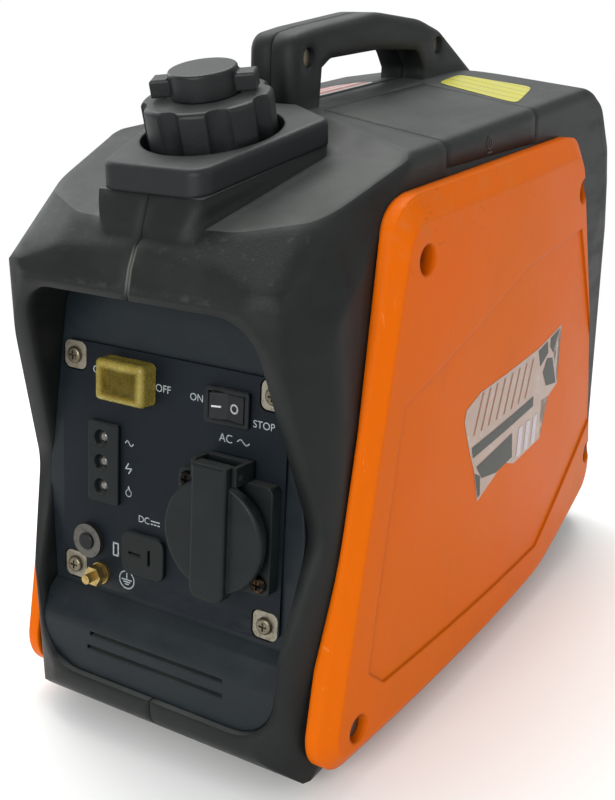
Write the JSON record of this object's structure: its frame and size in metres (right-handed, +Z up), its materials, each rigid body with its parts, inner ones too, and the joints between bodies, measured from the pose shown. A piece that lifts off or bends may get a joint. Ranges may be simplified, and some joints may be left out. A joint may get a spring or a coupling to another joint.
{
  "type": "inverter generator",
  "caption": "Small suitcase inverter generator: dark moulded body with a carrying handle, leaning filler cap, front control panel with sockets and switches, and orange side covers.",
  "frame": {"origin": "under the middle of the machine, on the plane its rubber feet stand on", "axes": "+Z up, -Y towards the control panel, +X to the right of the panel as the machine faces away from the panel's viewer"},
  "size_m": [0.204, 0.3929, 0.3497],
  "materials": {
    "body_plastic": "satin, fine moulded texture",
    "cap_plastic": "satin",
    "panel_plastic": "satin",
    "panel_face": "satin print film",
    "orange_cover": "satin gloss with light scuffs",
    "screw_steel": "zinc plated",
    "switch_plastic": "matte",
    "clear_boot": "translucent moulded vinyl",
    "lamp_lens": "smoked lens",
    "brass_part": "plain",
    "plated_collar": "nickel plated",
    "tank_plastic": "moulded",
    "hose_rubber": "matte",
    "rope_fabric": "braided cord",
    "engine_alloy": "as cast",
    "engine_steel": "plain",
    "coil_plastic": "matte"
  },
  "bodies": {
    "machine": {"ac_socket_body": "switch_plastic", "ac_socket_contacts": "brass_part", "air_cleaner_case": "tank_plastic", "base_tray": "engine_steel", "carburettor": "engine_alloy", "control_panel": "panel_face", "crankcase": "engine_alloy", "cylinder_barrel": "engine_alloy", "cylinder_head": "engine_alloy", "dc_socket": "switch_plastic", "earth_stud": "brass_part", "econ_boot": "clear_boot", "econ_switch_housing": "switch_plastic", "engine_mounts": "hose_rubber", "engine_switch_housing": "switch_plastic", "filler_bezel": "body_plastic", "front_cover": "panel_plastic", "fuel_hose": "hose_rubber", "fuel_tank": "tank_plastic", "fuel_valve": "engine_alloy", "handle_screws": "screw_steel", "ignition_coil": "coil_plastic", "ignition_lead": "hose_rubber", "indicator_block": "switch_plastic", "indicator_lamps": "lamp_lens", "inverter_module": "engine_alloy", "left_body_half": "body_plastic", "left_side_cover": "orange_cover", "lid_hinge_pin": "plated_collar", "muffler": "engine_steel", "panel_corner_pads": "screw_steel", "panel_screws": "screw_steel", "protector_collar": "plated_collar", "rear_grille": "body_plastic", "recoil_housing": "tank_plastic", "right_body_half": "body_plastic", "right_side_cover": "orange_cover", "rocker_cover": "engine_alloy", "rubber_feet": "hose_rubber", "side_cover_screws": "screw_steel", "spark_plug": "engine_steel", "spark_plug_cap": "hose_rubber", "starter_rope": "rope_fabric", "stator": "engine_steel"},
    "fuel_cap": {"fuel_cap": "cap_plastic"},
    "vent_knob": {"vent_knob": "cap_plastic"},
    "socket_lid": {"ac_socket_lid": "switch_plastic"},
    "reset_button": {"protector_button": "switch_plastic"},
    "econ_rocker": {"econ_rocker": "switch_plastic"},
    "engine_rocker": {"engine_rocker": "switch_plastic"},
    "earth_nut": {"earth_nut": "brass_part"},
    "plug_hatch": {"spark_plug_hatch": "body_plastic"},
    "crank_train": {"crankshaft": "engine_steel", "magnet_rotor": "engine_steel", "cooling_fan": "tank_plastic"},
    "piston": {"piston": "engine_alloy"},
    "recoil_reel": {"recoil_reel": "switch_plastic"},
    "starter_grip": {"starter_grip": "switch_plastic"},
    "choke_knob": {"choke_knob": "switch_plastic"},
    "oil_filler_cap": {"oil_filler_cap": "switch_plastic"}
  },
  "joints": [
    {"name": "fuel_cap_turn", "type": "hinge", "parent": "machine", "child": "fuel_cap", "pos_m": [0, -0.1306, 0.30272], "axis": [0, -0.2164, 0.9763], "range_deg": [0, 120]},
    {"name": "vent_knob_turn", "type": "hinge", "parent": "fuel_cap", "child": "vent_knob", "pos_m": [0, -0.13449, 0.32029], "axis": [0, -0.2164, 0.9763], "range_deg": [0, 90]},
    {"name": "socket_lid_swing", "type": "hinge", "parent": "machine", "child": "socket_lid", "pos_m": [0.038, -0.18425, 0.15979], "axis": [-1, 0, 0], "range_deg": [0, 110], "stiffness_Nm_per_rad": 0.008},
    {"name": "reset_button_travel", "type": "slide", "parent": "machine", "child": "reset_button", "axis": [0, -0.996, 0.0894], "range_m": [0, 0.003]},
    {"name": "econ_rocker_tilt", "type": "hinge", "parent": "machine", "child": "econ_rocker", "pos_m": [-0.0227, -0.16471, 0.18735], "axis": [0, 0.0894, 0.996], "range_deg": [-14, 0]},
    {"name": "engine_rocker_tilt", "type": "hinge", "parent": "machine", "child": "engine_rocker", "pos_m": [0.0342, -0.16492, 0.18496], "axis": [0, 0.0894, 0.996], "range_deg": [-14, 0]},
    {"name": "earth_nut_turn", "type": "hinge", "parent": "machine", "child": "earth_nut", "pos_m": [-0.041, -0.1824, 0.08532], "axis": [0, -0.996, 0.0894], "continuous": true},
    {"name": "plug_hatch_lift", "type": "slide", "parent": "machine", "child": "plug_hatch", "axis": [0, 0, 1], "range_m": [0, 0.06]},
    {"name": "crank_turn", "type": "hinge", "parent": "machine", "child": "crank_train", "pos_m": [0, 0.02, 0.096], "axis": [1, 0, 0], "continuous": true},
    {"name": "piston_travel", "type": "slide", "parent": "machine", "child": "piston", "axis": [0, 0, 1], "range_m": [0, 0.0295]},
    {"name": "reel_turn", "type": "hinge", "parent": "machine", "child": "recoil_reel", "pos_m": [-0.078, 0.02, 0.096], "axis": [-1, 0, 0], "range_deg": [0, 550], "stiffness_Nm_per_rad": 0.01},
    {"name": "grip_pull", "type": "slide", "parent": "machine", "child": "starter_grip", "axis": [-1, 0, 0], "range_m": [0, 0.3]},
    {"name": "choke_turn", "type": "hinge", "parent": "machine", "child": "choke_knob", "pos_m": [-0.094, 0.06, 0.191], "axis": [1, 0, 0], "range_deg": [0, 60]},
    {"name": "oil_cap_turn", "type": "hinge", "parent": "machine", "child": "oil_filler_cap", "pos_m": [0.074, -0.006, 0.072], "axis": [1, 0, 0], "range_deg": [0, 180]}
  ],
  "couplings": [
    {"joint": "grip_pull", "follows": "reel_turn", "m_per_rad": 0.031}
  ]
}
